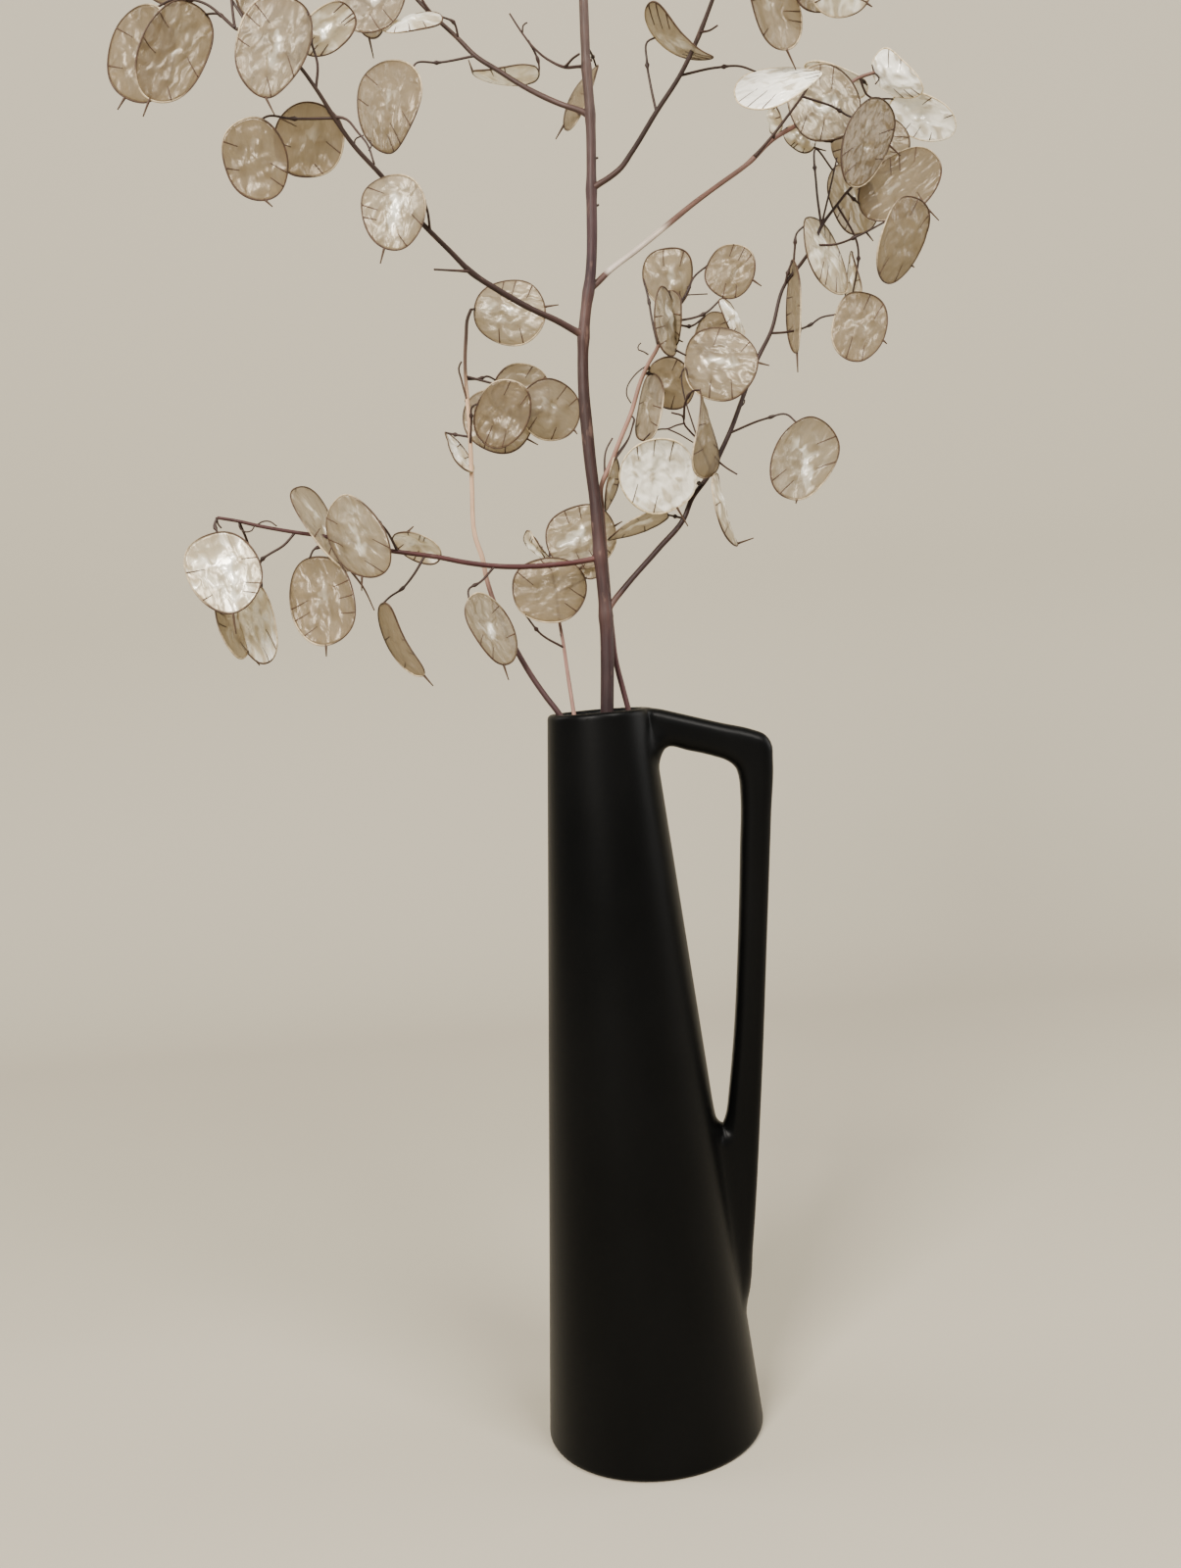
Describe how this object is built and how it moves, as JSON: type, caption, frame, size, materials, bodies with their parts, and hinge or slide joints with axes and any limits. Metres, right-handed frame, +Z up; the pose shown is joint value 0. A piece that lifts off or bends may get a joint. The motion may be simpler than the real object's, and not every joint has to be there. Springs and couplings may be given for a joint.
{
  "type": "dried honesty in vase",
  "caption": "Dried honesty stems with flat papery seed pods on branching sprays, standing in a tall tapered black jug vase with a long angular side handle.",
  "frame": {"origin": "centre of the jug's flat base, on the surface that it stands on", "axes": "+Z up along the jug's axis, +X towards the jug's handle, +Y away from the viewer of the picture"},
  "size_m": [0.3727, 0.1768, 0.8166],
  "materials": {
    "black_glaze": "satin black glaze",
    "pod_paper": "dry papery pods, pearly and translucent, on dry stems",
    "plum_stem": "dry plum-brown stem",
    "straw_stem": "dry straw-coloured stem",
    "pod_rim": "thin dry brown rim, seed stalks and style"
  },
  "bodies": {
    "root": {"vase": "black_glaze", "main_spray": "pod_paper", "left_spray": "pod_paper", "short_spray": "pod_paper", "right_spray": "pod_paper"}
  },
  "joints": []
}
